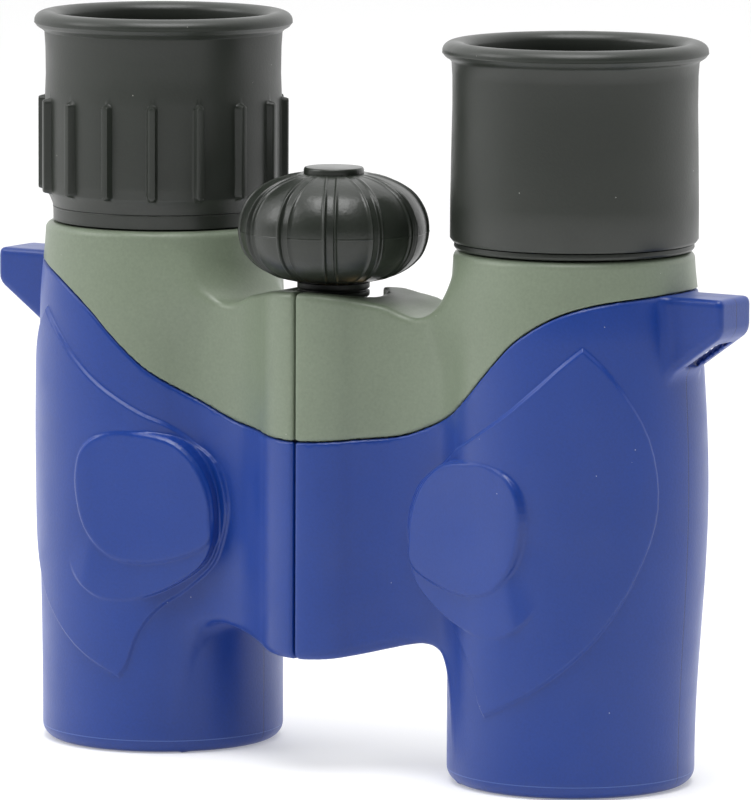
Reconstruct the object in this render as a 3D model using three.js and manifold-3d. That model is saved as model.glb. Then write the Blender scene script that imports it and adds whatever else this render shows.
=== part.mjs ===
// Compact roof-prism binoculars, standing on their objective ends.
// Millimetres. X runs across the two barrels, Y away from the viewer, Z up the barrels.
// The origin is on the floor in the middle of the footprint.
import * as THREE from 'three';
import Module from 'manifold-3d';

const wasm = await Module();
wasm.setup();

// ---- driving dimensions ------------------------------------------------------------------
const BARREL_X = 33.6;        // barrel axis to the middle plane, barrels fully spread
const BARREL_Y = 2.1;         // barrel axis, before the shift by CENTRE_Y
const HINGE_Y = -6.1;         // hinge axis, 8.2 in front of the plane through both barrels
const BARREL_R = 17;          // outside of the rubber armour
const BODY_TOP = 73.2;        // top face of the plastic body, under the eyecup
const ARMOUR_T = 1.25;        // rubber thickness
const GAP = 0.25;             // working gap between pieces that sit on one another
const BORE_R = 14.2;          // inside of the barrel
const LUG_SLOPE = 35.2;       // underside of the strap lug, degrees from level
const SLOT_L = 6.1;           // strap slot along that underside
const SLOT_T = 1.6;           // strap slot across it
const SLOT_LEAN = 60;         // slot from the square of the underside towards the back, degrees
const COVER_R = 10.15;        // outside of the rounded hinge cover
const KNUCKLE_R = 7.05;       // outside of the hinge knuckles
const TUBE_R = 4.2;           // outside of the hinge tube
const SEAM = 0.15;            // half of the front seam between the two body halves
const WEDGE = 56;             // degrees each half reaches round the back of the hinge
const SWELL_TURN = 25;        // degrees the palm swell is turned from outwards to the back
const CENTRE_Y = -0.55;       // brings the middle of the footprint to the origin
const WHEEL_R = 13.2;         // focus wheel
const PETALS = 12;            // raised segments round the focus wheel
const RIBS = 16;              // grip ribs on the dioptre eyecup
const RIB_START = 241.7;      // degrees, before the left side is mirrored

const rad = (degrees) => degrees * Math.PI / 180;
const polar = (cx, cy, r, degrees) => [cx + r * Math.cos(rad(degrees)), cy + r * Math.sin(rad(degrees))];
const smooth = (t) => t * t * (3 - 2 * t);
const hump = (t) => (Math.abs(t) < 1 ? 0.5 + 0.5 * Math.cos(Math.PI * t) : 0);

// ---- mesh builders -----------------------------------------------------------------------
function geometryOf(positions, indices) {
  const geometry = new THREE.BufferGeometry();
  geometry.setAttribute('position', new THREE.Float32BufferAttribute(positions, 3));
  geometry.setIndex(indices);
  return geometry;
}

function area2(points) {
  return points.reduce((sum, p, i) => {
    const q = points[(i + 1) % points.length];
    return sum + p[0] * q[1] - q[0] * p[1];
  }, 0);
}

// A profile of [radius, z] turned round the Z axis. The profile is a closed loop, or it
// starts and ends on the axis. shape(r, angle, z) may change the radius.
function turned(profile, segments = 24, shape = (r) => r) {
  const points = area2(profile) > 0 ? profile : [...profile].reverse();
  const positions = [];
  const rows = points.map(([r, z]) => {
    const first = positions.length / 3;
    const count = r < 1e-6 ? 1 : segments;
    for (let k = 0; k < count; k += 1) {
      const angle = 2 * Math.PI * k / segments;
      const radius = count === 1 ? 0 : shape(r, angle, z);
      positions.push(radius * Math.cos(angle), radius * Math.sin(angle), z);
    }
    return (k) => first + (count === 1 ? 0 : k % segments);
  });
  const indices = [];
  const face = (a, b, c) => {
    if (a !== b && b !== c && c !== a) indices.push(a, b, c);
  };
  rows.forEach((row, i) => {
    const next = rows[(i + 1) % rows.length];
    for (let k = 0; k < segments; k += 1) {
      face(row(k), row(k + 1), next(k + 1));
      face(row(k), next(k + 1), next(k));
    }
  });
  return geometryOf(positions, indices);
}

// A closed outline of [x, y] raised from z0 to z1.
function raised(outline, z0, z1) {
  const points = area2(outline) > 0 ? outline : [...outline].reverse();
  const n = points.length;
  const contour = points.map(([x, y]) => new THREE.Vector2(x, y));
  const caps = THREE.ShapeUtils.triangulateShape(contour, []);
  const positions = [];
  [z0, z1].forEach((z) => points.forEach(([x, y]) => positions.push(x, y, z)));
  const indices = [];
  caps.forEach(([a, b, c]) => {
    indices.push(a, c, b);
    indices.push(a + n, b + n, c + n);
  });
  points.forEach((_, i) => {
    const j = (i + 1) % n;
    indices.push(i, j, j + n);
    indices.push(i, j + n, i + n);
  });
  return geometryOf(positions, indices);
}

// A closed outline of [x, z] carried along Y from y0 to y1.
function carried(outline, y0, y1) {
  return raised(outline, -y1, -y0).rotateX(Math.PI / 2);
}

function box(x0, x1, y0, y1, z0, z1) {
  return raised([[x0, y0], [x1, y0], [x1, y1], [x0, y1]], z0, z1);
}

function rod(r, z0, z1, segments = 20) {
  return turned([[0, z0], [r, z0], [r, z1], [0, z1]], segments);
}

function ring(inner, outer, z0, z1, segments = 24) {
  return turned([[inner, z0], [outer, z0], [outer, z1], [inner, z1]], segments);
}

function mirrored(geometry) {
  const copy = geometry.clone();
  const position = copy.getAttribute('position');
  for (let i = 0; i < position.count; i += 1) position.setX(i, -position.getX(i));
  const index = Array.from(copy.getIndex().array);
  for (let i = 0; i < index.length; i += 3) [index[i], index[i + 1]] = [index[i + 1], index[i]];
  copy.setIndex(index);
  return copy;
}

// ---- adding, cutting and intersecting ----------------------------------------------------
function solid(geometry) {
  return new wasm.Manifold(new wasm.Mesh({
    numProp: 3,
    vertProperties: new Float32Array(geometry.getAttribute('position').array),
    triVerts: new Uint32Array(geometry.getIndex().array),
  }));
}

function plain(manifold) {
  const mesh = manifold.getMesh();
  return geometryOf(Array.from(mesh.vertProperties), Array.from(mesh.triVerts));
}

const joined = (first, ...rest) => plain(rest.reduce((s, g) => s.add(solid(g)), solid(first)));
const cut = (first, ...rest) => plain(rest.reduce((s, g) => s.subtract(solid(g)), solid(first)));
const common = (first, ...rest) => plain(rest.reduce((s, g) => s.intersect(solid(g)), solid(first)));

// ---- outline of the right half -----------------------------------------------------------
// Seen from above: hinge cover, shallow valley, and a bar that runs into the barrel.
function webOutline(inset) {
  const cover = COVER_R - inset;
  const start = SEAM + inset;
  const front = [[start, HINGE_Y - Math.sqrt(cover * cover - start * start)]];
  [-78, -70, -62, -54, -46].forEach((a) => front.push(polar(0, HINGE_Y, cover, a)));
  const valley = [[9.5, -11.7], [12, -10.5], [14.5, -9.9], [17.7, -9.7], [20, -10], [22.2, -10.5]];
  valley.forEach(([x, y]) => front.push([x, y + inset]));
  const corner = polar(0, HINGE_Y, 10.4 - inset, WEDGE - inset * 3);
  const core = [start, HINGE_Y + 0.6 - inset * 0.4];
  const inBarrel = [[27, -8.6 + inset], [BARREL_X, -8], [BARREL_X, 5.6 - inset], [19, 5.6 - inset]];
  return [...front, ...inBarrel, corner, core];
}

// Seen from the front: how high and how low the bar between hinge and barrel reaches.
function webHeight(inset) {
  const top = [[0, 66.8], [4, 66.6], [8.6, 65.7], [11.1, 65.1], [13.1, 64.3], [15, 63.6], [17.2, 64.2],
    [19.8, 65.6], [21.7, 67.4]];
  const bottom = [[21.8, 12], [21.2, 15], [20, 17.4], [18.6, 18.4], [16.6, 18.8], [14.4, 18.5],
    [11.5, 17.8], [7.5, 16.8], [5.5, 16.4], [0, 16]];
  const lift = (list, d) => list.map(([x, z]) => [x, z + d]);
  return [[-1, 66.8 - inset], ...lift(top, -inset), [BARREL_X, 70 - inset],
    [BARREL_X, 12 + inset], ...lift(bottom, inset), [-1, 16 + inset]];
}

// The barrel swells outwards where the palm holds it, and a little to the front near the top.
function barrelRadius(r, angle, z) {
  const outwards = Math.max(0, Math.cos(angle - rad(SWELL_TURN))) ** 2;
  const forwards = Math.max(0, -Math.sin(angle)) ** 2;
  return r + 1.6 * outwards * hump((z - 40) / 37) + 0.5 * forwards * hump((z - 57) / 30);
}

function barrelSolid(inset, z0, z1) {
  const edge = 2.1;
  const r = BARREL_R - inset;
  const profile = [[0, z0], [r - edge, z0], [r, z0 + edge]];
  const levels = inset > 0 ? [24, 42, 60] : [20, 34, 46, 60];
  levels.forEach((z) => profile.push([r, z]));
  profile.push([r - 0.6, z1], [0, z1]);
  return turned(profile, inset > 0 ? 24 : 32, barrelRadius).translate(BARREL_X, BARREL_Y, 0);
}

function halfSolid(inset, z0, z1) {
  const web = common(raised(webOutline(inset), 10, BODY_TOP), carried(webHeight(inset), -30, 30));
  return joined(barrelSolid(inset, z0, z1), web);
}

// The rubber ends along this line; above it the plastic body shows.
function colourLine() {
  return [[-1, 46.3], [0, 46.3], [8, 46.8], [13.6, 47.5], [17.7, 49], [21.7, 51], [26, 54], [30.2, 58],
    [34.2, 62], [36.9, 64], [40.4, 66], [44, 67.3], [49, 68.2], [62, 68.4]];
}

function below(lift) {
  const line = colourLine().map(([x, z]) => [x, z + lift]);
  return carried([...line, [62, -2], [-1, -2]], -30, 30);
}

// Strap lug on the outer side, with a sloping underside.
function lugSolid() {
  const side = [[46, 68.2], [58.5, 68.2], [59.1, 67.6], [59.1, 63.8], [58.5, 62.9], [51.7, 58.1],
    [46, 56]];
  return carried(side, BARREL_Y - 4.1, BARREL_Y + 4.1);
}

// Slot for the strap, from the middle of the sloping underside out through the back of the lug.
function strapSlot() {
  const slot = box(-SLOT_L / 2, SLOT_L / 2, -SLOT_T / 2, SLOT_T / 2, -2, 6);
  return slot.rotateX(rad(-SLOT_LEAN)).rotateY(rad(-LUG_SLOPE)).translate(54.4, BARREL_Y, 60);
}

// Raised oval rest for the index finger, tilted towards the hinge.
function fingerPad() {
  const points = [];
  for (let a = 0; a < 360; a += 20) points.push([10.6 * Math.cos(rad(a)), 9.06 * Math.sin(rad(a))]);
  const top = points.map(([x, z]) => [x * 0.93, z * 0.93]);
  const body = carried(points, 0, 5);
  const crown = carried(top, -0.45, 1);
  return joined(body, crown).rotateZ(rad(-12)).translate(26.25, -14.2, 36.2);
}

function armour() {
  const skin = halfSolid(0, 0, BODY_TOP);
  const outer = common(joined(skin, fingerPad()), below(0));
  const shell = cut(joined(outer, lugSolid()),
    halfSolid(ARMOUR_T, ARMOUR_T, BODY_TOP),
    rod(KNUCKLE_R + 0.3, 0, 80, 28).translate(0, HINGE_Y, 0),
    rod(13.4, -1, 6, 32).translate(BARREL_X, BARREL_Y, 0),
    strapSlot());
  return shell;
}

// Plastic body: full size above the rubber, stepped in below it, bored for the optics.
function body(isLeft) {
  const inner = halfSolid(ARMOUR_T + GAP, ARMOUR_T + GAP, BODY_TOP);
  const crown = cut(halfSolid(0, 0, BODY_TOP), below(GAP));
  const lugClear = box(50, 60, BARREL_Y - 5.1, BARREL_Y + 5.1, 57, 69);
  const knuckles = isLeft ? [[19.4, 28.8], [46.4, 55.2]] : [[29.2, 46]];
  const rings = knuckles.map(([z0, z1]) => rod(KNUCKLE_R, z0, z1, 28).translate(0, HINGE_Y, 0));
  const arms = knuckles.map(([z0, z1]) => box(3, 9.4, HINGE_Y - 4.4, HINGE_Y + 4.4, z0, z1));
  const hinge = (r, z0, z1) => rod(r, z0, z1, 28).translate(0, HINGE_Y, 0);
  const shell = cut(joined(inner, crown),
    hinge(KNUCKLE_R + 0.3, 10, 75),
    lugClear,
    rod(BORE_R, 0, 80, 32).translate(BARREL_X, BARREL_Y, 0),
    box(9.6, 16.2, -7.2, 1.2, 20.8, 60),
    box(5, 13.6, -6.6, 0.2, 57, 63.4),
    box(15, 22, -4.4, -0.4, 20.8, 27));
  return cut(joined(shell, ...rings, ...arms), hinge(TUBE_R + GAP, 10, 75));
}

// ---- focus mechanism ---------------------------------------------------------------------
function focusWheel() {
  const profile = [[2.5, 67.8], [6.2, 67.8], [9.7, 69], [12.3, 71.4], [WHEEL_R, 74.5], [12.8, 77.4],
    [10.9, 80.3], [7.6, 81.9], [4.6, 82.2], [4.6, 81.4], [2.5, 81.4]];
  const groove = (r, angle) => {
    if (r < 5) return r;
    const turn = (angle * PETALS / (2 * Math.PI)) % 1;
    const across = Math.abs(turn - 0.5) * 2;
    return r * (1 - 0.1 * smooth(Math.max(0, (across - 0.72) / 0.28)) - 0.012 * across);
  };
  return turned(profile, PETALS * 6, groove);
}

function focusArm() {
  const fork = box(4.9, 13.2, -4.2, -1.6, 58.7, 61.7);
  const slot = box(4, 7.6, -5, 0, 59.05, 61.25);
  const shaft = rod(1.1, 22.8, 61, 16).translate(12.2, -2.9, 0);
  const foot = box(11.4, 20.3, -3.6, -1.8, 22.8, 24.4);
  return cut(joined(fork, shaft, foot), slot);
}

// ---- optics (built at the barrel axis, bottom to top) ---------------------------------------
function lens(r, z0, z1, lower, upper, segments = 24) {
  const steps = [0, 0.5, 1];
  const down = steps.map((t) => [r * t, z0 - lower * (1 - t * t)]);
  const up = [...steps].reverse().map((t) => [r * t, z1 + upper * (1 - t * t)]);
  return turned([...down, ...up], segments);
}

function prismCage() {
  const pocket = box(-10.3, 10.3, -8.3, 8.3, 28.6, 50.6);
  const windows = rod(7.6, 20, 60, 28);
  const side = box(-12, 12, 8, 16, 31, 48);
  return cut(rod(13.9, 27, 52.2, 28), pocket, windows, side);
}

function roofPrism() {
  const side = [[-10, 49.9], [10, 49.9], [10, 45.6], [1.8, 38.6], [-10, 45.2]];
  return carried(side, -7.9, 7.9);
}

function halfPrism() {
  const side = [[-10, 44.2], [1.2, 37.9], [10, 30.2], [10, 29.3], [-10, 29.3]];
  return carried(side, -7.9, 7.9);
}

function objectiveTube() {
  return turned([[10.75, 8], [12.2, 8], [12.2, 14.6], [13.4, 15.6], [13.4, 24.6], [12.6, 24.6], [12.6, 16],
    [11.4, 15], [9.6, 15], [9.6, 14.2], [10.75, 14.2]]);
}

function eyepieceTube(shoulder) {
  return turned([[12.7, 61], [13.85, 61], [13.85, shoulder], [14.85, shoulder], [14.85, 87.4], [14.3, 88],
    [10.4, 88], [9.4, 87.2], [9.4, 86.5], [13.1, 86.5], [12.7, 74]], 28);
}

function eyepieceCell() {
  return turned([[9.95, 66.8], [12.35, 66.8], [12.35, 84.6], [9.95, 84.6], [9.95, 67.9], [9.0, 67.9],
    [9.0, 67.2]]);
}

// Rolled rim at the top of each rubber eyecup: a bead on a short curve out of the sleeve.
function rimProfile(height, sleeve) {
  const bead = [];
  for (let a = -60; a <= 180; a += 40) {
    bead.push([16.35 + 1.75 * Math.cos(rad(a)), height + 1.3 * Math.sin(rad(a))]);
  }
  return [...sleeve, ...bead, [14.45, height - 1.2], [15.1, height - 2.6]];
}

function smoothEyecup() {
  const outer = [[16.95, 74.6], [16.7, 92], [16.8, 98.6]];
  return turned([[15.1, 74.6], ...rimProfile(100.4, outer)], 36);
}

function ribbedEyecup() {
  const outer = [[15.7, 75.6], [16.5, 77.4], [16.6, 91.4], [16.65, 99.4]];
  const sleeve = turned([[15.1, 75.6], ...rimProfile(101.45, outer)], 32);
  const ribs = [];
  for (let k = 0; k < RIBS; k += 1) {
    const side = [[15.9, 77.7], [17.2, 77.5], [17.66, 78.6], [17.66, 89.7], [17.2, 90.8], [15.9, 90.6]];
    ribs.push(carried(side, -0.8, 0.8).rotateZ(2 * Math.PI * k / RIBS + rad(RIB_START)));
  }
  return joined(sleeve, ...ribs);
}

// ---- assembly ----------------------------------------------------------------------------
const FINISH = {
  armour: { color: 0x2b3fa8, roughness: 0.55 },
  body: { color: 0x7d8a78, roughness: 0.6 },
  rubber: { color: 0x2c312e, roughness: 0.7 },
  wheel: { color: 0x202423, roughness: 0.45 },
  dark: { color: 0x1b1d1e, roughness: 0.6 },
  steel: { color: 0x9a9c9e, roughness: 0.35, metalness: 1 },
  brass: { color: 0xb08d4a, roughness: 0.35, metalness: 1 },
  glass: { color: 0xbfd4de, roughness: 0.05 },
};

const binoculars = new THREE.Group();
binoculars.name = 'binoculars';

function add(name, finish, geometry, x = 0, y = 0) {
  const mesh = new THREE.Mesh(geometry, new THREE.MeshStandardMaterial(FINISH[finish]));
  mesh.name = name;
  mesh.position.set(x, y + CENTRE_Y, 0);
  binoculars.add(mesh);
}

// Hinge and focus pieces share the hinge axis.
add('hinge_tube', 'steel', ring(2.9, TUBE_R, 18.9, 55.2), 0, HINGE_Y);
add('hinge_bottom_cap', 'dark', turned([[0, 16.9], [5.9, 16.9], [6.5, 17.4], [6.5, 18.6], [2.55, 18.6],
  [2.55, 26], [0, 26]]), 0, HINGE_Y);
add('hinge_top_nut', 'steel', ring(2.9, 6.2, 55.5, 57.1, 6), 0, HINGE_Y);
add('focus_screw', 'brass', turned([[0, 42], [2.1, 42], [2.1, 81.7], [0, 81.7]], 20), 0, HINGE_Y);
add('focus_nut', 'brass', ring(2.4, 6.8, 59.35, 60.95), 0, HINGE_Y);
add('focus_collar', 'dark', turned([[2.4, 65.3], [4.6, 65.3], [5, 65.7], [5, 67.5], [2.4, 67.5]]),
  0, HINGE_Y);
add('focus_wheel', 'wheel', focusWheel(), 0, HINGE_Y);
add('focus_wheel_cap', 'wheel', turned([[0, 82], [4.15, 82], [4.15, 83], [3.85, 83.3], [0, 83.3]], 14),
  0, HINGE_Y);

['left', 'right'].forEach((side) => {
  const isLeft = side === 'left';
  const place = isLeft ? -BARREL_X : BARREL_X;
  const turn = (geometry) => (isLeft ? mirrored(geometry) : geometry);
  const inBarrel = (piece, finish, geometry) => {
    add(`${side}_${piece}`, finish, turn(geometry), place, BARREL_Y);
  };
  const ringTop = isLeft ? 75.3 : 74.35;
  const ringR = isLeft ? 15.75 : 16.4;

  add(`${side}_body`, 'body', turn(body(isLeft)));
  add(`${side}_armour`, 'armour', turn(armour()));
  add(`${side}_focus_arm`, 'steel', turn(focusArm()));

  inBarrel('objective_trim_ring', 'dark', turned([[11.4, 4.6], [11.4, 2.4], [12.2, 1.7], [13.9, 1.7],
    [13.9, 5.4], [12, 5.4]], 28));
  inBarrel('objective_tube', 'dark', objectiveTube());
  inBarrel('objective_retainer', 'dark', ring(9.7, 10.5, 8.3, 9.1));
  inBarrel('objective_crown', 'glass', lens(10.5, 10.2, 11.2, 0.7, 0.5));
  inBarrel('objective_flint', 'glass', turned([[0, 12], [5, 11.87], [10.5, 11.5], [10.5, 13.7],
    [0, 13.7]]));
  inBarrel('prism_cage', 'dark', prismCage());
  inBarrel('half_prism', 'glass', halfPrism());
  inBarrel('roof_prism', 'glass', roofPrism());
  inBarrel('field_stop', 'dark', turned([[7, 56], [13.9, 54.6], [13.9, 57.6], [7, 56.6]]));
  inBarrel('base_ring', 'dark', ring(14.15, ringR, BODY_TOP + 0.25, ringTop, 32));
  inBarrel('eyepiece_tube', 'dark', eyepieceTube(isLeft ? 75.6 : 74.65));
  inBarrel('eyepiece_cell', 'dark', eyepieceCell());
  inBarrel('field_lens', 'glass', lens(9.7, 69, 70.2, 0.8, 0.5));
  inBarrel('lens_spacer', 'dark', ring(8.6, 9.7, 70.6, 78.8));
  inBarrel('eye_lens', 'glass', lens(9.7, 80.1, 82.0, 0.9, 1.1));
  inBarrel('lens_retainer', 'dark', ring(8.6, 9.7, 82.4, 84.2));
  inBarrel('eyecup', 'rubber', isLeft ? ribbedEyecup() : smoothEyecup());
});

export default binoculars;
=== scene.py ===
"""Compact binoculars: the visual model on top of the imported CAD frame."""

import math

import bpy
import numpy as np
from mathutils import Matrix, Vector


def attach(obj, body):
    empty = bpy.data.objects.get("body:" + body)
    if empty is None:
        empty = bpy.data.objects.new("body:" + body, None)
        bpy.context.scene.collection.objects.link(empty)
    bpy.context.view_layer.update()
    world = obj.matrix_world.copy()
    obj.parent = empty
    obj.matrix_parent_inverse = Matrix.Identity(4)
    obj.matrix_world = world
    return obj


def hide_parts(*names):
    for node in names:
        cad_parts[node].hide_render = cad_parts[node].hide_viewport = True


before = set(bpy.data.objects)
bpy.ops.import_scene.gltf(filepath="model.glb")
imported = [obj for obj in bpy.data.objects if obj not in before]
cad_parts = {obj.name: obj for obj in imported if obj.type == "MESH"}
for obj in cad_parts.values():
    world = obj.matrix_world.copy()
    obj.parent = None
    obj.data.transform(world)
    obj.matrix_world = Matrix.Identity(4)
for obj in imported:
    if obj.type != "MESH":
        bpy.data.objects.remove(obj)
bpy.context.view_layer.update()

MILLIMETRE = 0.001

# ---- sizes, in millimetres, the same as in the CAD ----------------------------------------
BARREL_X = 33.6
BARREL_Y = 1.55
HINGE_Y = -6.65
BARREL_R = 17.0
BODY_TOP = 73.2
ARMOUR_T = 1.25
BORE_R = 14.2
KNUCKLE_R = 7.05
GAP = 0.25                     # working gap between pieces that sit on one another
HINGE_GAP = 0.3                # wider gap round the hinge knuckles
TUBE_R = 4.2
SEAM = 0.15                    # half of the seam between the two halves
WEDGE = math.radians(56)       # what the back of the bar leaves free for the fold
SWELL = 1.6                    # how far the barrel swells in the hand
SWELL_TURN = math.radians(25)  # direction of that swell, from straight out towards the back
BULGE = 0.5                    # how far the barrel's front comes forward near the colour line
TAPER = 0.6                    # how much narrower the barrel is at the eyecup
FOOT_ROUND = 2.1
BACK_SLOPE = 0.235             # the bar's back, how fast it recedes from the hinge outwards
LUG_TOP = 68.2
LUG_END = 59.08
LUG_HALF = 4.08                # half of the lug's depth
LUG_SLOPE = math.radians(35.62)
SLOT_LEAN = math.radians(60)   # lean of the strap slot towards the back of the lug
SLOT_MIDDLE = (54.4, 60)       # where it starts, on the lug's underside: outwards and up
SLOT_LONG = 6.1
SLOT_THICK = 1.6
COLOUR_LOW = 46.3              # height of the colour line at the hinge
COLOUR_GAP = 0.08              # half of the thin gap between rubber and plastic
FIELD_RAISE = 0.48             # how far the field round the finger rest stands out
REST_TILT = math.radians(12)   # finger rests are turned this much towards the hinge
PETALS = 12
RIBS = 16
CELL = 0.42     # spacing of the grid that the rounded solids are cut from
LINER_CELL = 0.75

# ---- small maths --------------------------------------------------------------------------


def smoothstep(low, high, value):
    """From nought at low to one at high, level at both."""
    t = np.clip((value - low) / (high - low), 0.0, 1.0)
    return t * t * (3 - 2 * t)


def hump(t):
    """One at nought, falling to nought at one and minus one."""
    return np.where(np.abs(t) < 1, 0.5 + 0.5 * np.cos(np.pi * np.clip(t, -1, 1)), 0.0)


def both(a, b, r):
    """Where both distances are inside, with a corner rounded to radius r."""
    outside = np.sqrt(np.maximum(a + r, 0) ** 2 + np.maximum(b + r, 0) ** 2)
    return np.minimum(-r, np.maximum(a, b)) + outside


def either(a, b, r):
    """Where either distance is inside, with a fillet of radius r."""
    return -both(-a, -b, r)


def spline(points):
    """A smooth curve through points, as a function with its slope."""
    x = np.array([p[0] for p in points], float)
    y = np.array([p[1] for p in points], float)
    m = np.gradient(y, x)

    def at(value):
        v = np.clip(value, x[0], x[-1])
        i = np.clip(np.searchsorted(x, v) - 1, 0, len(x) - 2)
        h = x[i + 1] - x[i]
        t = (v - x[i]) / h
        h00 = (1 + 2 * t) * (1 - t) ** 2
        h10 = t * (1 - t) ** 2
        h01 = t * t * (3 - 2 * t)
        h11 = t * t * (t - 1)
        return h00 * y[i] + h10 * h * m[i] + h01 * y[i + 1] + h11 * h * m[i + 1]

    def slope(value):
        return (at(value + 0.05) - at(value - 0.05)) / 0.1

    return at, slope


def flowing(points, steps, sharp=()):
    """A closed outline through points, rounded between them except at the sharp ones."""
    out = []
    n = len(points)
    for i in range(n):
        p0, p1, p2, p3 = (np.array(points[(i + k) % n], float) for k in (-1, 0, 1, 2))
        a = (p2 - p1) / 2 if i in sharp else (p2 - p0) / 2
        b = (p2 - p1) / 2 if (i + 1) % n in sharp else (p3 - p1) / 2
        for k in range(steps):
            t = k / steps
            out.append((1 + 2 * t) * (1 - t) ** 2 * p1 + t * (1 - t) ** 2 * a
                       + t * t * (3 - 2 * t) * p2 + t * t * (t - 1) * b)
    return np.array(out)


def outline_distance(u, v, points):
    """Signed distance to a closed outline, negative inside."""
    best = np.full(u.shape, 1e9)
    inside = np.zeros(u.shape, bool)
    for a, b in zip(points, np.roll(points, -1, axis=0)):
        e = b - a
        t = np.clip(((u - a[0]) * e[0] + (v - a[1]) * e[1]) / (e @ e), 0, 1)
        best = np.minimum(best, (u - a[0] - t * e[0]) ** 2 + (v - a[1] - t * e[1]) ** 2)
        if a[1] != b[1]:
            cross = (a[1] > v) != (b[1] > v)
            inside ^= cross & (u < (b[0] - a[0]) * (v - a[1]) / (b[1] - a[1]) + a[0])
    return np.where(inside, -1, 1) * np.sqrt(best)


# ---- the shape of the right half, as a distance ---------------------------------------------
# Front of the bar between hinge and barrel, seen from above.
FRONT, FRONT_SLOPE = spline([
    (0, -16.8), (2, -16.6), (4, -15.98), (6, -14.84), (7.6, -13.5), (9.5, -12.25),
    (12, -11.05), (14.5, -10.45), (17.7, -10.25), (21, -10.5), (26, -10.9)])
# Its top and bottom edges, seen from the front.
TOP, TOP_SLOPE = spline([
    (0, 66.8), (4, 66.6), (6.5, 66.2), (8.6, 65.7), (11.1, 65.1), (13.1, 64.2),
    (15, 63.7), (17.2, 64.1), (19.8, 65.4), (22, 67.2), (24.5, 69), (28, 70)])
BOTTOM, BOTTOM_SLOPE = spline([
    (0, 16), (5.5, 16.4), (7.5, 16.8), (11.5, 17.8), (14.4, 18.5), (16.6, 18.8),
    (18.6, 18.4), (20, 17.4), (21.2, 15), (21.9, 12), (23, 4)])
# The line where the rubber ends and the plastic starts.
COLOUR, _ = spline([
    (-2, COLOUR_LOW), (0, COLOUR_LOW), (8, 46.8), (13.6, 47.5), (17.7, 49), (21.7, 51), (26, 54),
    (30.2, 58), (34.2, 62), (36.9, 64), (40.4, 66), (44, 67.3), (49, 68.2), (62, 68.4)])
# Raised field round the finger rest: distance round the barrel, and height.
FIELD = flowing([
    (10.5, 61.6), (7.6, 59.2), (3.5, 55.4), (-1, 51.7), (-6.7, 48.2), (-10.8, 46.4), (-14, 44.2),
    (-16.4, 41.4), (-17.2, 36), (-16.9, 30.5), (-15.9, 26.4), (-13.2, 23.2), (-9.4, 20.6),
    (-6.6, 17), (-5, 12.6), (-3.8, 10.8), (3.8, 14.8), (11.9, 21.5), (18, 30.2), (21.3, 39.5),
    (19.9, 49.1), (14.6, 57.5)], 4, sharp=(0, 15))


def barrel(x, y, z):
    """The barrel, round at the foot and swollen where the hand holds it."""
    dx = x - BARREL_X
    dy = y - BARREL_Y
    r = np.sqrt(dx * dx + dy * dy) + 1e-9
    outward = np.maximum(0, (dx * math.cos(SWELL_TURN) + dy * math.sin(SWELL_TURN)) / r) ** 2
    forward = np.maximum(0, -dy / r) ** 2
    swell = SWELL * outward * hump((z - 40) / 37) + BULGE * forward * hump((z - 57) / 30)
    taper = TAPER * smoothstep(62, BODY_TOP, z)
    body = both(r - (BARREL_R + swell - taper), -z, FOOT_ROUND)
    return both(body, z - BODY_TOP, 1.0)


def bar(x, y, z):
    """The flat part between hinge and barrel, cut off along the wedge behind the hinge."""
    front = (FRONT(x) - y) / np.sqrt(1 + FRONT_SLOPE(x) ** 2)
    back = (y - (1.95 + (x - 5.8) * BACK_SLOPE)) / math.sqrt(1 + BACK_SLOPE ** 2)
    reach = -math.sin(WEDGE) * x + math.cos(WEDGE) * (y - HINGE_Y)
    top = (z - TOP(x)) / np.sqrt(1 + TOP_SLOPE(x) ** 2)
    low = (BOTTOM(x) - z) / np.sqrt(1 + BOTTOM_SLOPE(x) ** 2)
    plan = both(front, both(back, reach, 0.5), 0.8)
    tall = both(both(plan, top, 0.8), low, 1.3)
    return both(both(tall, SEAM - x, 0.45), x - BARREL_X, 0.1)


def half(x, y, z):
    """Barrel and bar, with a fillet that is widest where the bar's top runs into the barrel."""
    return either(barrel(x, y, z), bar(x, y, z), 1.6 + 2.2 * smoothstep(55, 65, z))


def lug_slope(x, z):
    """Distance below the sloping underside of the strap lug."""
    return (x - 52.2) * math.sin(LUG_SLOPE) - (z - 58.4) * math.cos(LUG_SLOPE)


def lug(x, y, z):
    """The strap lug, rounded along its edges, starting inside the barrel."""
    side = both(both(z - LUG_TOP, x - LUG_END, 0.9), lug_slope(x, z), 0.9)
    return both(both(side, np.abs(y - BARREL_Y) - LUG_HALF, 0.7), 44 - x, 0.1)


def strap_slot(x, y, z):
    """From the middle of the underside out through the back of the lug."""
    below, behind = lug_slope(x, z), y - BARREL_Y
    along = (x - SLOT_MIDDLE[0]) * math.cos(LUG_SLOPE) + (z - SLOT_MIDDLE[1]) * math.sin(LUG_SLOPE)
    thick = behind * math.cos(SLOT_LEAN) + below * math.sin(SLOT_LEAN)
    deep = behind * math.sin(SLOT_LEAN) - below * math.cos(SLOT_LEAN)
    d = np.maximum(np.abs(along) - SLOT_LONG / 2, np.abs(thick) - SLOT_THICK / 2)
    return np.maximum(d, np.abs(deep - 2) - 4)


def finger_field(x, y, z):
    """Distance to the edge of the raised field, negative inside it."""
    around = (BARREL_R + 0.3) * np.arctan2(x - BARREL_X, -(y - BARREL_Y))
    return outline_distance(around, z, FIELD)


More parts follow.
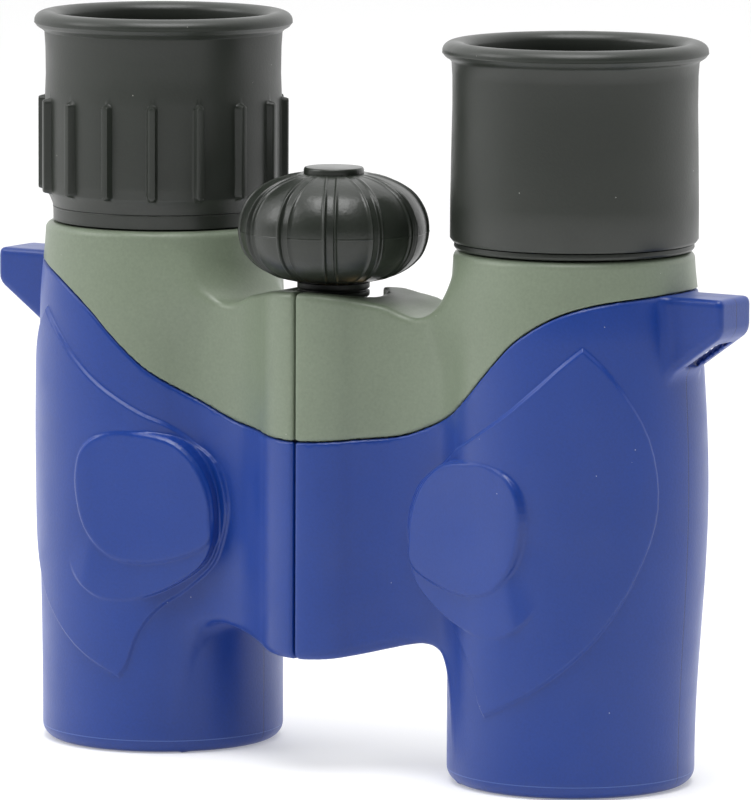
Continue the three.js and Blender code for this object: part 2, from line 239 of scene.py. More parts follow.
# Finger rest, in its own tilted plane: a button, and a wider disc below it that fades round the
# barrel. Each outline is distance outwards and height from the middle of the button.
REST_MIDDLE = (26.4, 36.2)
BUTTON_FACE = -15.2
BUTTON_RAISE = 1.1     # how far the button may stand out of the field at its outer end
DISC_FACE = -14.75
DISC_RAISE = 0.45      # the same for the disc
BUTTON = flowing([
    (9.5, 4.9), (8.2, 7.2), (6, 8.5), (2.4, 9.1), (-3.9, 8.3), (-7.7, 5.6), (-9.8, 1.6), (-10.4, -2.5),
    (-9.9, -6), (-4.8, -8.3), (0.9, -9.1), (5.2, -8), (8.5, -4.4), (9.8, 0.8)], 4)
DISC = flowing([
    (9, 7.5), (3.2, 9.3), (-3.9, 8.6), (-7.9, 5.8), (-10.2, 1.8), (-10.8, -2.5), (-10.3, -6.2),
    (-8.8, -9), (-5.4, -11.6), (-1.3, -13.6), (3.2, -14.6), (7.3, -14), (11, -11), (13, -5), (12.5, 2)], 4)


def eased(a, b, width):
    """The greater of two distances, passing softly from one to the other."""
    return np.maximum(a, b) + 0.25 * width * np.maximum(0, 1 - np.abs(a - b) / width) ** 2


def rest_plane(x, y, z, face):
    """Place across and up the tilted plane of the finger rest, and how far in front of a face."""
    c, s = math.cos(REST_TILT), math.sin(REST_TILT)
    across = (x - REST_MIDDLE[0]) * c - (y - face) * s
    out = -(x - REST_MIDDLE[0]) * s - (y - face) * c
    return across, z - REST_MIDDLE[1], out


def finger_rest(x, y, z, raised):
    """The low disc and the button in front of it. Their tilted faces end in ones that follow the
    barrel, which are set free from it towards the hinge."""
    free = 4 * smoothstep(32.5, 28.5, x)
    across, up, out = rest_plane(x, y, z, DISC_FACE)
    around = raised + 0.5 - (0.5 + DISC_RAISE) * smoothstep(42, 34, x + 0.54 * (z - 25))
    face = eased(out, around - free, 0.4)
    low = both(both(outline_distance(across, up, DISC), face, 0.35), -out - 7, 0.1)
    across, up, out = rest_plane(x, y, z, BUTTON_FACE)
    face = eased(out, raised - BUTTON_RAISE - free, 0.6)
    slanted = (outline_distance(across, up, BUTTON) - 0.25 * np.clip(-out, 0, 3)) * 0.97
    return low, both(both(slanted, face, 0.35), -out - 7, 0.1)


def detailed(x, y, z, d):
    """The front of the armour: raised field, low disc and button."""
    front = smoothstep(1.5, -1.5, y)
    d = d - FIELD_RAISE * front * smoothstep(0.32, -0.34, finger_field(x, y, z))
    low, rest = finger_rest(x, y, z, d)
    return either(either(d, low, 0.3), rest, 0.3)


def skin(x, y, z):
    """Outside of the armour: the half with its finger rest, and the strap lug."""
    d = half(x, y, z)
    near = (y < 1.5) & (d > -2.5) & (d < 3.5)
    d[near] = detailed(x[near], y[near], z[near], d[near])
    return either(d, lug(x, y, z), 1.2)


def crisp_line(x, y, z):
    """Distance to the nearest crisp edge on the front of the armour."""
    across, up, _ = rest_plane(x, y, z, BUTTON_FACE)
    low = np.abs(outline_distance(across, up, DISC))
    button = np.abs(outline_distance(across, up, BUTTON) - 0.25)
    near = np.minimum(np.abs(finger_field(x, y, z)), np.minimum(low, button))
    return np.where((y > 1.5) | (half(x, y, z) < -0.8), 99, near)


def bore(x, y, radius):
    return radius - np.sqrt((x - BARREL_X) ** 2 + (y - BARREL_Y) ** 2)


def hinge_distance(x, y):
    return np.sqrt(x * x + (y - HINGE_Y) ** 2)


def block(x, y, z, low, high):
    """Distance to a box between two corners."""
    d = np.maximum(low[0] - x, x - high[0])
    d = np.maximum(d, np.maximum(low[1] - y, y - high[1]))
    return np.maximum(d, np.maximum(low[2] - z, z - high[2]))


def armour_shape(x, y, z):
    """The rubber sleeve: the skin without the body in it, up to the colour line."""
    d = skin(x, y, z)
    d = both(d, -(half(x, y, z) + ARMOUR_T), 0.15)
    d = both(d, KNUCKLE_R + HINGE_GAP - hinge_distance(x, y), 0.2)
    d = both(d, bore(x, y, 13.4), 0.3)
    d = both(d, -strap_slot(x, y, z), 0.2)
    return both(d, z - COLOUR(x) + COLOUR_GAP, 0.16)


def pockets(x, y, z):
    """The room for the focus arm: along the barrel, under the wheel, and through to the tube."""
    room = block(x, y, z, (9.6, -7.75, 20.8), (16.2, 0.65, 60))
    room = np.minimum(room, block(x, y, z, (5, -7.15, 57), (13.6, -0.35, 63.4)))
    return np.minimum(room, block(x, y, z, (15, -4.95, 20.8), (22, -0.95, 27)))


def knuckles(x, y, z, levels):
    """Hinge knuckles between pairs of levels, with the arms that join them to the body."""
    d = np.full(x.shape, 99.0)
    for low, high in levels:
        tall = np.abs(z - (low + high) / 2) - (high - low) / 2
        d = np.minimum(d, both(hinge_distance(x, y) - KNUCKLE_R, tall, 0.35))
        arm = block(x, y, z, (3, HINGE_Y - 4.4, low), (9.4, HINGE_Y + 4.4, high))
        d = np.minimum(d, arm)
    return np.maximum(d, TUBE_R + GAP - hinge_distance(x, y))


def body_shape(x, y, z, levels, inset):
    """The plastic body, bored for the optics, with its outside set in from the half's."""
    d = half(x, y, z) + inset
    d = both(d, bore(x, y, BORE_R), 0.2)
    d = both(d, KNUCKLE_R + HINGE_GAP - hinge_distance(x, y), 0.35)
    d = both(d, -pockets(x, y, z), 0.3)
    return np.minimum(d, knuckles(x, y, z, levels))


# ---- turning a distance into a mesh -----------------------------------------------------------
def wrap(shape, low, high, cell, lift=None):
    """A mesh of quads on the zero level of shape. lift(x, y, t) gives z for t in low..high."""
    counts = [max(4, int(round((high[i] - low[i]) / cell[i]))) + 1 for i in range(3)]
    axes = [np.linspace(low[i], high[i], counts[i]) for i in range(3)]
    gx, gy, gt = np.meshgrid(*axes, indexing="ij")
    gz = lift(gx, gy, gt) if lift else gt
    value = shape(gx, gy, gz)
    value[value == 0] = 1e-6
    inside = value < 0
    corner = [(i, j, k) for i in (0, 1) for j in (0, 1) for k in (0, 1)]
    n = [c - 1 for c in counts]
    part = [inside[i:n[0] + i, j:n[1] + j, k:n[2] + k] for i, j, k in corner]
    active = np.logical_or.reduce(part) & ~np.logical_and.reduce(part)
    cells = np.argwhere(active)
    number = np.full(active.shape, -1)
    number[active] = np.arange(len(cells))
    total = np.zeros((len(cells), 3))
    crossings = np.zeros(len(cells))
    for a in corner:
        for axis in range(3):
            if a[axis]:
                continue
            b = tuple(a[m] + (m == axis) for m in range(3))
            fa = value[tuple((cells + a).T)]
            fb = value[tuple((cells + b).T)]
            hit = (fa < 0) != (fb < 0)
            t = np.where(hit, fa / np.where(hit, fa - fb, 1), 0)
            point = np.array(a, float) + t[:, None] * (np.array(b) - np.array(a))
            total += np.where(hit[:, None], point, 0)
            crossings += hit
    place = cells + total / crossings[:, None]
    step = np.array([axes[i][1] - axes[i][0] for i in range(3)])
    p = np.array(low) + place * step
    points = np.stack([p[:, 0], p[:, 1], lift(p[:, 0], p[:, 1], p[:, 2]) if lift else p[:, 2]], axis=1)
    quads = []
    for axis in range(3):
        u, v = (axis + 1) % 3, (axis + 2) % 3
        lower = [slice(1, n[m]) for m in range(3)]
        upper = list(lower)
        lower[axis] = slice(0, n[axis])
        upper[axis] = slice(1, n[axis] + 1)
        here, there = inside[tuple(lower)], inside[tuple(upper)]
        edge = np.argwhere(here != there)
        base = edge.copy()
        for m in (u, v):
            base[:, m] += 1
        ring = []
        for du, dv in ((-1, -1), (0, -1), (0, 0), (-1, 0)):
            c = base.copy()
            c[:, u] += du
            c[:, v] += dv
            ring.append(number[tuple(c.T)])
        ring = np.stack(ring, axis=1)
        flip = ~here[tuple(edge.T)]
        ring[flip] = ring[flip][:, ::-1]
        quads.append(ring)
    faces = np.concatenate(quads)
    for _ in range(3):
        points = settle(shape, points)
    return points, faces.tolist()


def settle(shape, points):
    """Moves points onto the zero level of shape, a short way at a time."""
    x, y, z = points.T
    h = 0.02
    d = shape(x, y, z)
    slope = np.stack([shape(x + h, y, z) - shape(x - h, y, z), shape(x, y + h, z) - shape(x, y - h, z),
                      shape(x, y, z + h) - shape(x, y, z - h)], axis=1) / (2 * h)
    size = np.maximum((slope ** 2).sum(axis=1), 0.25)
    move = -(np.clip(d, -0.25, 0.25) / size)[:, None] * slope
    return points + np.clip(move, -0.2, 0.2)


def refined(shape, points, faces, measure, reach):
    """Splits the quads within reach of a detail in four; the faces beside them share the new points."""
    quads = np.array([face for face in faces if len(face) == 4])
    others = [face for face in faces if len(face) != 4]
    chosen = measure(*points[quads].mean(axis=1).T) < reach
    new, middle = [], {}

    def between(a, b):
        key = (min(a, b), max(a, b))
        if key not in middle:
            middle[key] = len(points) + len(new)
            new.append((points[a] + points[b]) / 2)
        return middle[key]

    out = []
    for a, b, c, d in quads[chosen].tolist():
        ab, bc, cd, da = between(a, b), between(b, c), between(c, d), between(d, a)
        centre = len(points) + len(new)
        new.append((points[a] + points[b] + points[c] + points[d]) / 4)
        out += [[a, ab, centre, da], [ab, b, bc, centre], [centre, bc, c, cd], [da, centre, cd, d]]
    touched = np.zeros(len(points), bool)
    touched[quads[chosen].ravel()] = True
    beside = touched[quads].sum(axis=1) > 1
    out += quads[~chosen & ~beside].tolist()
    for face in others + quads[~chosen & beside].tolist():
        loop = []
        for a, b in zip(face, face[1:] + face[:1]):
            loop.append(a)
            if (min(a, b), max(a, b)) in middle:
                loop.append(middle[(min(a, b), max(a, b))])
        out.append(loop)
    fresh = np.array(new)
    for _ in range(3):
        fresh = settle(shape, fresh)
    return np.concatenate([points, fresh]), out


def mesh_object(name, points, faces, finish, body, slot, nodes=(), sharp=40):
    """A piece that rides on a body and stands for some of its CAD nodes."""
    mesh = bpy.data.meshes.new(name)
    mesh.from_pydata((np.asarray(points) * MILLIMETRE).tolist(), [], faces)
    mesh.validate()
    mesh.shade_smooth()
    if sharp:
        mesh.set_sharp_from_angle(angle=math.radians(sharp))
    mesh.materials.append(finish)
    obj = bpy.data.objects.new(name, mesh)
    bpy.context.scene.collection.objects.link(obj)
    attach(obj, body)
    if nodes:
        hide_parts(*nodes)
    return obj


def mirrored(points, faces):
    return points * np.array([-1, 1, 1]), [face[::-1] for face in faces]


# ---- turned pieces ------------------------------------------------------------------------------
def softened(profile, radius=0.2, steps=3):
    """A closed profile of (radius, z) with its corners rounded."""
    out = []
    n = len(profile)
    for i in range(n):
        a, b, c = (np.array(profile[(i + k) % n], float) for k in (-1, 0, 1))
        if b[0] < 1e-6:
            out.append(b)
            continue
        la, lc = np.linalg.norm(a - b), np.linalg.norm(c - b)
        cut = min(radius, 0.42 * la, 0.42 * lc)
        start, end = b + (a - b) / la * cut, b + (c - b) / lc * cut
        bend = np.dot((a - b) / la, (c - b) / lc)
        if bend < -0.985:
            out.append(b)
            continue
        for k in range(steps + 1):
            t = k / steps
            out.append((1 - t) ** 2 * start + 2 * t * (1 - t) * b + t * t * end)
    return out


def turned(profile, segments, shape=None):
    """Points and faces of a profile of (radius, z) turned round the Z axis."""
    loop = [np.array(p, float) for p in profile]
    area = sum(p[0] * q[1] - q[0] * p[1] for p, q in zip(loop, loop[1:] + loop[:1]))
    if area < 0:
        loop.reverse()
    points, rows = [], []
    angles = np.arange(segments) * 2 * math.pi / segments
    for r, z in loop:
        if r < 1e-6:
            rows.append([len(points)] * segments)
            points.append((0, 0, z))
            continue
        rows.append(list(range(len(points), len(points) + segments)))
        radii = shape(r, angles, z) if shape else np.full(segments, r)
        points.extend(zip(radii * np.cos(angles), radii * np.sin(angles), np.full(segments, z)))
    faces = []
    for row, above in zip(rows, rows[1:] + rows[:1]):
        for k in range(segments):
            m = (k + 1) % segments
            face = [row[k], row[m], above[m], above[k]]
            face = [v for i, v in enumerate(face) if v != face[i - 1]]
            if len(set(face)) > 2:
                faces.append(face)
    return np.array(points), faces


def turned_piece(name, profile, x, y, finish, body, slot, nodes=(), segments=128, round_off=0.2,
                 shape=None):
    """A profile turned round an upright axis at x, y; shape moves its rings in and out."""
    loop = softened(profile, round_off) if round_off else profile
    points, faces = turned(loop, segments, shape)
    return mesh_object(name, points + np.array([x, y, 0]), faces, finish, body, slot, nodes)


# ---- finishes -------------------------------------------------------------------------------
def new_material(name):
    mat = bpy.data.materials.new(name)
    mat.use_nodes = True
    tree = mat.node_tree
    return mat, tree.nodes, tree.links, tree.nodes["Principled BSDF"]


def noise(nodes, links, place, scale, detail=2.0):
    n = nodes.new("ShaderNodeTexNoise")
    n.inputs["Scale"].default_value = scale
    n.inputs["Detail"].default_value = detail
    links.new(place, n.inputs["Vector"])
    return n.outputs["Fac"]


def ramp(nodes, links, source, stops):
    r = nodes.new("ShaderNodeValToRGB")
    while len(r.color_ramp.elements) < len(stops):
        r.color_ramp.elements.new(0.5)
    for element, (position, colour) in zip(r.color_ramp.elements, stops):
        element.position = position
        element.color = (*colour, 1)
    links.new(source, r.inputs["Fac"])
    return r.outputs["Color"]


def maths(nodes, links, operation, a, b):
    m = nodes.new("ShaderNodeMath")
    m.operation = operation
    for socket, value in zip(m.inputs, (a, b)):
        if isinstance(value, (int, float)):
            socket.default_value = value
        else:
            links.new(value, socket)
    return m.outputs[0]


def mixed(nodes, links, factor, a, b):
    m = nodes.new("ShaderNodeMix")
    m.data_type = "RGBA"
    for socket, value in ((m.inputs[0], factor), (m.inputs[6], a), (m.inputs[7], b)):
        if isinstance(value, tuple):
            socket.default_value = (*value, 1)
        elif isinstance(value, (int, float)):
            socket.default_value = value
        else:
            links.new(value, socket)
    return m.outputs[2]


def moulded(name, colour, rough, grain=0.02, cloud=0.12, dust=0.5, sheen=0.0, grain_scale=2600, seams=None):
    """Moulded rubber or plastic: cloudy colour, fine mould grain with painted shade in its hollows, dust
    specks and mould seams.
    """
    mat, nodes, links, shader = new_material(name)
    place = nodes.new("ShaderNodeTexCoord").outputs["Object"]
    big = noise(nodes, links, place, 60, 3)
    dark = tuple(c * (1 - cloud) for c in colour)
    light = tuple(min(1, c * (1 + cloud)) for c in colour)
    base = ramp(nodes, links, big, [(0.3, dark), (0.7, light)])
    fine = noise(nodes, links, place, grain_scale, 2)
    # Fine grain: partly grain tone, partly painted shade, since the colour is darker where the grain's bump
    # is low.
    grain_tone_and_painted_shade = ramp(nodes, links, fine, [(0.25, (0.86, 0.86, 0.86)), (0.75, (1, 1, 1))])
    multiply = nodes.new("ShaderNodeMix")
    multiply.data_type = "RGBA"
    multiply.blend_type = "MULTIPLY"
    multiply.inputs[0].default_value = 1.0
    links.new(base, multiply.inputs[6])
    links.new(grain_tone_and_painted_shade, multiply.inputs[7])
    base = multiply.outputs[2]
    if dust:
        cells = nodes.new("ShaderNodeTexVoronoi")
        cells.inputs["Scale"].default_value = 300
        links.new(place, cells.inputs["Vector"])
        near = maths(nodes, links, "LESS_THAN", cells.outputs["Distance"], 0.024)
        pick = nodes.new("ShaderNodeSeparateColor")
        links.new(cells.outputs["Color"], pick.inputs[0])
        some = maths(nodes, links, "GREATER_THAN", pick.outputs[0], 0.45)
        speck = maths(nodes, links, "MULTIPLY", maths(nodes, links, "MULTIPLY", near, some), dust)
        base = mixed(nodes, links, speck, base, (0.75, 0.76, 0.72))
    rough_noise = noise(nodes, links, place, 160, 3)
    roughness = ramp(nodes, links, rough_noise, [(0.3, (rough - 0.05,) * 3), (0.7, (rough + 0.05,) * 3)])
    links.new(roughness, shader.inputs["Roughness"])
    height = fine
    for mask, tint, rise in seams(nodes, links, place) if seams else ():
        height = maths(nodes, links, "ADD", height, maths(nodes, links, "MULTIPLY", mask, rise))
        base = mixed(nodes, links, maths(nodes, links, "MULTIPLY", mask, 0.55), base, tint)
    bump = nodes.new("ShaderNodeBump")
    bump.inputs["Strength"].default_value = 1.0
    bump.inputs["Distance"].default_value = grain * MILLIMETRE
    links.new(height, bump.inputs["Height"])
    links.new(bump.outputs[0], shader.inputs["Normal"])
    links.new(base, shader.inputs["Base Color"])
    shader.inputs["Sheen Weight"].default_value = sheen
    shader.inputs["Sheen Roughness"].default_value = 0.35
    shader.inputs["Sheen Tint"].default_value = (*(min(1, 0.45 + 2 * c) for c in colour), 1)
    return mat


def near_plane(nodes, links, place, axis, level, width):
    """One within width of a plane across an axis, in millimetres, and nought elsewhere."""
    split = nodes.new("ShaderNodeSeparateXYZ")
    links.new(place, split.inputs[0])
    away = maths(nodes, links, "SUBTRACT", split.outputs[axis], level * MILLIMETRE)
    distance = maths(nodes, links, "ABSOLUTE", away, 0)
    return maths(nodes, links, "LESS_THAN", distance, width * MILLIMETRE)


def barrel_seams(nodes, links, place):
    """Mould seams of the armour: low on the barrel, and up its outer side."""
    low = near_plane(nodes, links, place, 2, 1.85, 0.06)
    upright = near_plane(nodes, links, place, 1, BARREL_Y, 0.1)
    return [(low, (0.10, 0.19, 0.55), 2.5), (upright, (0.002, 0.006, 0.04), -4)]


def metal(name, colour, rough):
    """Metal with fine lines round the axis that it was turned on."""
    mat, nodes, links, shader = new_material(name)
    place = nodes.new("ShaderNodeTexCoord").outputs["Object"]
    stretch = nodes.new("ShaderNodeMapping")
    stretch.inputs["Scale"].default_value = (300, 300, 9000)
    links.new(place, stretch.inputs[0])
    brushed = noise(nodes, links, stretch.outputs[0], 1.0, 3)
    dark = tuple(c * 0.8 for c in colour)
    links.new(ramp(nodes, links, brushed, [(0.3, dark), (0.7, colour)]), shader.inputs["Base Color"])
    links.new(ramp(nodes, links, brushed, [(0.2, (rough - 0.08,) * 3), (0.8, (rough + 0.08,) * 3)]),
              shader.inputs["Roughness"])
    shader.inputs["Metallic"].default_value = 1.0
    return mat


def glass_with_painted_reflection(name, tint):
    """Dark glass, slightly smeared, whose colour goes lighter towards the edges as a painted reflection of
    its coating.
    """
    mat, nodes, links, shader = new_material(name)
    place = nodes.new("ShaderNodeTexCoord").outputs["Object"]
    smear = noise(nodes, links, place, 220, 4)
    # Painted reflection: the base colour is deep where the glass faces the camera and the lighter tint at
    # grazing angles.
    edge = nodes.new("ShaderNodeLayerWeight")
    edge.inputs["Blend"].default_value = 0.35
    deep = tuple(c * 0.35 for c in tint)
    links.new(mixed(nodes, links, edge.outputs["Facing"], deep, tint), shader.inputs["Base Color"])
    links.new(ramp(nodes, links, smear, [(0.35, (0.02,) * 3), (0.75, (0.1,) * 3)]),
              shader.inputs["Roughness"])
    shader.inputs["Specular IOR Level"].default_value = 0.8
    shader.inputs["Coat Weight"].default_value = 0.6
    return mat


BLUE = moulded("blue_rubber", (0.003, 0.038, 0.255), 0.36, 0.016, 0.05, sheen=0.22, seams=barrel_seams)
GREY = moulded("grey_plastic", (0.186, 0.227, 0.162), 0.4, 0.010, 0.03, dust=0.3)
RUBBER = moulded("eyecup_rubber", (0.020, 0.024, 0.019), 0.4, 0.014, 0.1, dust=0.5)
WHEEL = moulded("wheel_rubber", (0.017, 0.021, 0.016), 0.33, 0.035, 0.1, dust=0.7, grain_scale=1500)
DARK = moulded("dark_plastic", (0.010, 0.011, 0.011), 0.5, 0.01, 0.1, dust=0)
STEEL = metal("bright_steel", (0.55, 0.55, 0.54), 0.32)
ALLOY = metal("cast_alloy", (0.66, 0.67, 0.67), 0.45)
BRASS = metal("turned_brass", (0.62, 0.44, 0.2), 0.34)
GLASS = glass_with_painted_reflection("glass_with_painted_reflection", (0.10, 0.07, 0.16))
PRISM = glass_with_painted_reflection("prism_glass", (0.35, 0.42, 0.45))

# ---- body halves --------------------------------------------------------------------------------
KNUCKLES = {"left": ((19.4, 28.8), (46.4, 55.2)), "right": ((29.2, 46.0),)}
LINE_MIDDLE = 56.0
CROWN_TALL = BODY_TOP - COLOUR_LOW


def armour_lift(x, y, t):
    """Heights that follow the colour line, so that it runs along the grid."""
    return t * COLOUR(x) / LINE_MIDDLE


def crown_lift(x, y, t):
    """The same above the line, up to the top of the body."""
    line = COLOUR(x)
    return line + t * (BODY_TOP - line) / CROWN_TALL


def crown_shape(levels):
    def shape(x, y, z):
        d = body_shape(x, y, z, levels, 0.0)
        return both(d, COLOUR(x) + COLOUR_GAP - z, 0.16)
    return shape


def liner_shape(levels):
    def shape(x, y, z):
        d = body_shape(x, y, z, levels, ARMOUR_T + GAP)
        return np.maximum(d, z - COLOUR(x) + 0.3)
    return shape


armour_mesh = wrap(armour_shape, (-0.33, -19.5, -0.5), (59.9, 20, LINE_MIDDLE + 0.8), (CELL, CELL, CELL),
                   armour_lift)
for near in (0.9, 0.4):
    armour_mesh = refined(armour_shape, *armour_mesh, crisp_line, near)
# It stands on the floor, so nothing of it is lower than that.
armour_mesh[0][:, 2] = np.maximum(armour_mesh[0][:, 2], 0)
for side in ("left", "right"):
    flip = mirrored if side == "left" else (lambda points, faces: (points, faces))
    mesh_object(f"{side}_armour_skin", *flip(*armour_mesh), BLUE, f"{side}_half", "blue_armour",
                (f"{side}_armour",), sharp=0)
    crown = wrap(crown_shape(KNUCKLES[side]), (-7.6, -19.5, -0.8), (52, 20, CROWN_TALL + 0.8),
                 (CELL, CELL, CELL), crown_lift)
    mesh_object(f"{side}_body_crown", *flip(*crown), GREY, f"{side}_half", "grey_plastic",
                (f"{side}_body",), sharp=0)
    liner = wrap(liner_shape(KNUCKLES[side]), (-7.6, -18, 0.6), (52, 20, 69),
                 (LINER_CELL, LINER_CELL, LINER_CELL))
    mesh_object(f"{side}_body_liner", *flip(*liner), DARK, f"{side}_half", "grey_plastic",
                (f"{side}_body",), sharp=0)


# ---- eyecups ------------------------------------------------------------------------------------
def bead(height, steps=44):
    """The rolled rim, with the thin line that its mould leaves just under its widest place."""
    points = []
    for k in range(steps + 1):
        a = math.radians(-62 + 242 * k / steps)
        flash = 0.09 * math.exp(-((math.degrees(a) + 14) / 4) ** 2)
        points.append((16.35 + (1.75 + flash) * math.cos(a), height + (1.3 + flash) * math.sin(a)))
    return points


def rows(points, spacing=0.8):
    """Points put in along each straight run, so that a shape function has something to move."""
    out = []
    for a, b in zip(points, points[1:]):
        a, b = np.array(a, float), np.array(b, float)
        n = max(1, int(np.linalg.norm(b - a) / spacing))
        out.extend(a + (b - a) * k / n for k in range(n))
    out.append(np.array(points[-1], float))
    return out


right_sleeve = [(16.6, 74.45), (16.95, 74.9), (16.93, 80), (16.8, 88), (16.7, 93), (16.72, 97),
                (16.85, 98.9)]
right_inside = [(14.45, 99.2), (14.7, 98.3), (15.1, 97.2), (15.1, 74.45)]
turned_piece("right_eyecup_sleeve", right_sleeve + bead(100.4) + right_inside, BARREL_X, BARREL_Y, RUBBER,
             "right_half", "eyecup_rubber", ("right_eyecup",), 192, 0)


SLEEVE_R = 16.6
RIB_R = 17.54                  # outside of the ribs
RIB_START = math.radians(-61.7)
RIB_LOW, RIB_HIGH = 78.1, 90.1


def grip_ribs(r, angles, z):
    """Upright ribs with rounded ends and soft edges."""
    if r < 15.6 or z > 92:
        return np.full(len(angles), r)
    pitch = 2 * math.pi / RIBS
    away = (angles - RIB_START + pitch / 2) % pitch - pitch / 2
    across = away * SLEEVE_R
    past = max(0.0, RIB_LOW - z, z - RIB_HIGH)
    side = np.sqrt(across ** 2 + past ** 2)
    rise = 1.0 - smoothstep(0.46, 0.78, side)
    crown = 0.1 * (1 - np.clip(side / 0.6, 0, 1) ** 2)
    return r + (RIB_R + crown - r) * rise


left_sleeve = rows([(15.5, 75.47), (15.62, 75.9), (15.95, 76.7), (16.3, 77.3), (16.5, 77.55)], 0.3)[:-1]
left_sleeve += rows([(16.5, 77.55), (16.6, 79)], 0.12)[:-1]
left_sleeve += rows([(16.6, 79), (16.62, 89.4)], 0.5)[:-1]
left_sleeve += rows([(16.62, 89.4), (16.62, 90.9)], 0.12)[:-1]
left_sleeve += rows([(16.62, 90.9), (16.5, 94), (16.55, 97.6), (16.7, 99.9)], 1.0)
left_inside = [(14.45, 100.2), (14.7, 99.3), (15.1, 98.2), (15.1, 75.55)]
turned_piece("left_eyecup_sleeve", left_sleeve + bead(101.45) + left_inside, -BARREL_X, BARREL_Y, RUBBER,
             "dioptre_ring", "eyecup_rubber", ("left_eyecup",), 640, 0, grip_ribs)


# ---- focus wheel --------------------------------------------------------------------------------
# Its outline from the bottom up: radius and height at evenly counted places.
WHEEL_EDGE, _ = spline(list(enumerate([
    6.2, 8.3, 10.5, 12.15, 12.95, 13.2, 13.0, 12.25, 11.0, 9.2, 7.2, 5.2, 4.3])))
WHEEL_TALL, _ = spline(list(enumerate([
    67.8, 68.35, 69.5, 71.1, 72.9, 74.7, 76.5, 78.3, 79.9, 81.1, 81.9, 82.35, 82.4])))
WHEEL_STEPS = 12
PARTING = 74.5                 # height of the line that the mould leaves round it
GROOVE = 0.62                  # depth of the grooves between petals
LIP = 0.34                     # height of the lips along them
CROWN = 0.12                   # how much a petal's middle stands out


def focus_wheel():
    """Petals with a raised lip on both sides of each groove between them."""
    near = [0, 0.3, 0.46, 0.52, 0.58, 0.64, 0.7, 0.77, 0.86, 0.97, 1.14]
    far = [0.12, 0.3, 0.5, 0.7, 0.88, 1.0]
    middle = 4.89 + 0.035 * np.arange(-4, 5)
    levels = np.sort(np.concatenate([np.linspace(0, WHEEL_STEPS, 5 * WHEEL_STEPS + 1), middle]))
    points = []
    for level in levels:
        r, z = float(WHEEL_EDGE(level)), float(WHEEL_TALL(level))
        arc = math.pi * r / PETALS
        k = min(1.0, 0.85 * arc / near[-1])
        side = [s * k for s in near] + [near[-1] * k + (arc - near[-1] * k) * f for f in far]
        depth = GROOVE * min(1.0, 0.35 + level / 3)
        line = 0.07 * math.exp(-((z - PARTING) / 0.08) ** 2)
        ring = []
        for petal in range(PETALS):
            for s in side[:-1] + [-v for v in side[:0:-1]]:
                a = abs(s)
                wall = float(smoothstep(0.46 * k, 0.66 * k, a))
                lip = LIP * math.exp(-((a - 0.77 * k) / 0.17) ** 2)
                crown = CROWN * (1 - (1 - min(1, a / arc)) ** 2)
                radius = r - depth * (1 - wall) + wall * (lip + crown + line - 0.42)
                base = (s if s >= 0 else 2 * arc + s) / r
                angle = 2 * math.pi * petal / PETALS + base
                ring.append((radius * math.cos(angle), radius * math.sin(angle), z))
        count = len(ring)
        points.extend(ring)
    faces = []
    for i in range(len(levels) - 1):
        for k in range(count):
            m = (k + 1) % count
            faces.append([i * count + k, i * count + m, (i + 1) * count + m, (i + 1) * count + k])
    last = (len(levels) - 1) * count
    top, bottom = len(points), len(points) + 1
    points += [(0, 0, 81.6), (0, 0, 68.2)]
    for k in range(count):
        m = (k + 1) % count
        faces.append([last + k, last + m, top])
        faces.append([m, k, bottom])
    return np.array(points) + np.array([0, HINGE_Y, 0]), faces


mesh_object("focus_wheel_grip", *focus_wheel(), WHEEL, "focus_wheel_set", "wheel_rubber",
            ("focus_wheel",), sharp=0)
turned_piece("focus_wheel_button", [(0, 82.0), (4.15, 82.0), (4.15, 83.0), (4.0, 83.3), (0, 83.3)],
             0, HINGE_Y, WHEEL, "focus_wheel_set", "wheel_rubber", ("focus_wheel_cap",), 96, 0.12)
collar = [(2.4, 65.3), (4.6, 65.3), (5, 65.7), (5, 66.3), (4.7, 66.4), (4.7, 66.6), (5, 66.7), (5, 67.5),
          (2.4, 67.5)]
turned_piece("focus_wheel_collar", collar, 0, HINGE_Y, DARK, "focus_wheel_set", "dark_plastic",
             ("focus_collar",), 96, 0.1)

# ---- turned pieces in the barrels ---------------------------------------------------------------
def lens_profile(radius, low, low_bulge, high, high_bulge, steps=12):
    """A lens between two domed faces; a bulge is how far a face stands out in the middle."""
    under = [(radius * t, low - low_bulge * (1 - t * t)) for t in np.linspace(0, 1, steps)]
    over = [(radius * t, high + high_bulge * (1 - t * t)) for t in np.linspace(1, 0, steps)]
    return under + over


